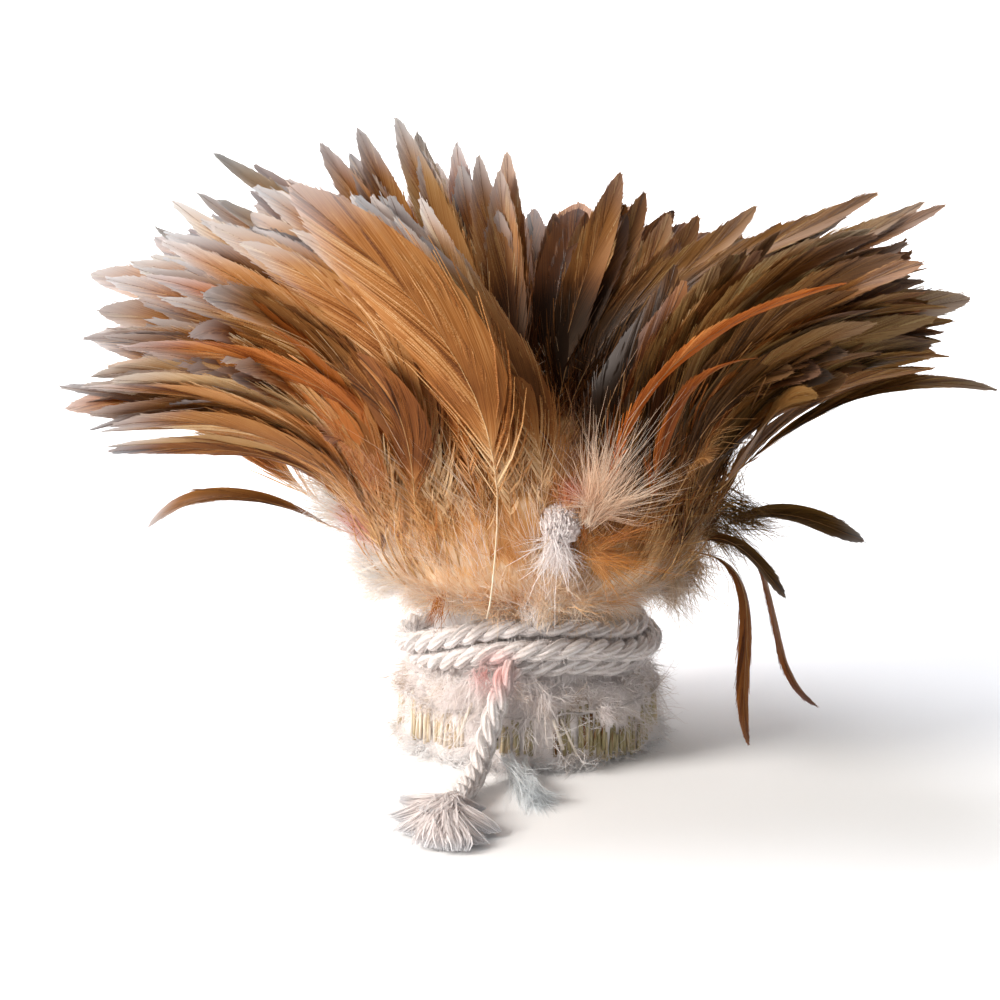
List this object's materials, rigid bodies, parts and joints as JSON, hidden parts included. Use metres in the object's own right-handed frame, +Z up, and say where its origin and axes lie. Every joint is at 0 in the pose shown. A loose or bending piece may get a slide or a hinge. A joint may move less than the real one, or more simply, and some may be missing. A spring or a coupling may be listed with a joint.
{
  "type": "strung rooster hackle bundle",
  "caption": "Rolled bundle of strung rooster neck feathers that arch outwards over a rope-tied waist and stand on their cut quills.",
  "frame": {"origin": "middle of the flat oval of cut quills that the bundle stands on", "axes": "+Z up, away from the cut quills; +X along the wider side of the fan; the rope's free tail is at the front, towards -Y"},
  "size_m": [0.2185, 0.163, 0.146],
  "materials": {
    "hackle_dark": "semi-gloss feather barbs, dark brown",
    "hackle_brown": "semi-gloss feather barbs, caramel",
    "hackle_tan": "semi-gloss feather barbs, tan with pale tips",
    "down_cream": "fluffy down, cream",
    "down_white": "fluffy down, white",
    "quill_horn": "cut quills, horn, semi-gloss",
    "cotton": "matte cotton yarn"
  },
  "bodies": {
    "root": {"down_collar": "down_cream", "heart_tuft_01": "hackle_brown", "heart_tuft_02": "hackle_brown", "heart_tuft_03": "hackle_brown", "heart_tuft_04": "hackle_brown", "heart_tuft_05": "hackle_brown", "heart_tuft_06": "hackle_brown", "heart_tuft_07": "hackle_brown", "heart_tuft_08": "hackle_brown", "heart_tuft_09": "hackle_brown", "heart_tuft_10": "hackle_brown", "heart_tuft_11": "hackle_brown", "heart_tuft_12": "hackle_brown", "heart_tuft_13": "hackle_brown", "inner_hackle_01": "hackle_tan", "inner_hackle_02": "hackle_tan", "inner_hackle_03": "hackle_tan", "inner_hackle_04": "hackle_tan", "inner_hackle_05": "hackle_tan", "inner_hackle_06": "hackle_tan", "inner_hackle_07": "hackle_tan", "inner_hackle_08": "hackle_tan", "inner_hackle_09": "hackle_tan", "inner_hackle_10": "hackle_tan", "inner_hackle_11": "hackle_tan", "inner_hackle_12": "hackle_tan", "inner_hackle_13": "hackle_tan", "inner_hackle_14": "hackle_tan", "inner_hackle_15": "hackle_tan", "loose_plume": "down_white", "middle_hackle_01": "hackle_brown", "middle_hackle_02": "hackle_brown", "middle_hackle_03": "hackle_brown", "middle_hackle_04": "hackle_brown", "middle_hackle_05": "hackle_brown", "middle_hackle_06": "hackle_brown", "middle_hackle_07": "hackle_brown", "middle_hackle_08": "hackle_brown", "middle_hackle_09": "hackle_brown", "middle_hackle_10": "hackle_brown", "middle_hackle_11": "hackle_brown", "outer_hackle_01": "hackle_dark", "outer_hackle_02": "hackle_dark", "outer_hackle_03": "hackle_dark", "outer_hackle_04": "hackle_dark", "outer_hackle_05": "hackle_dark", "outer_hackle_06": "hackle_dark", "outer_hackle_07": "hackle_dark", "outer_hackle_08": "hackle_dark", "outer_hackle_09": "hackle_dark", "outer_hackle_10": "hackle_dark", "packed_crown_lower": "hackle_brown", "packed_crown_upper": "hackle_dark", "quill_roll": "quill_horn", "stitch_thread": "cotton", "tie_tail": "cotton", "tie_tail_fray": "cotton", "tie_turns": "cotton", "tie_upper_end": "cotton", "tuft_plume": "down_cream"}
  },
  "joints": []
}
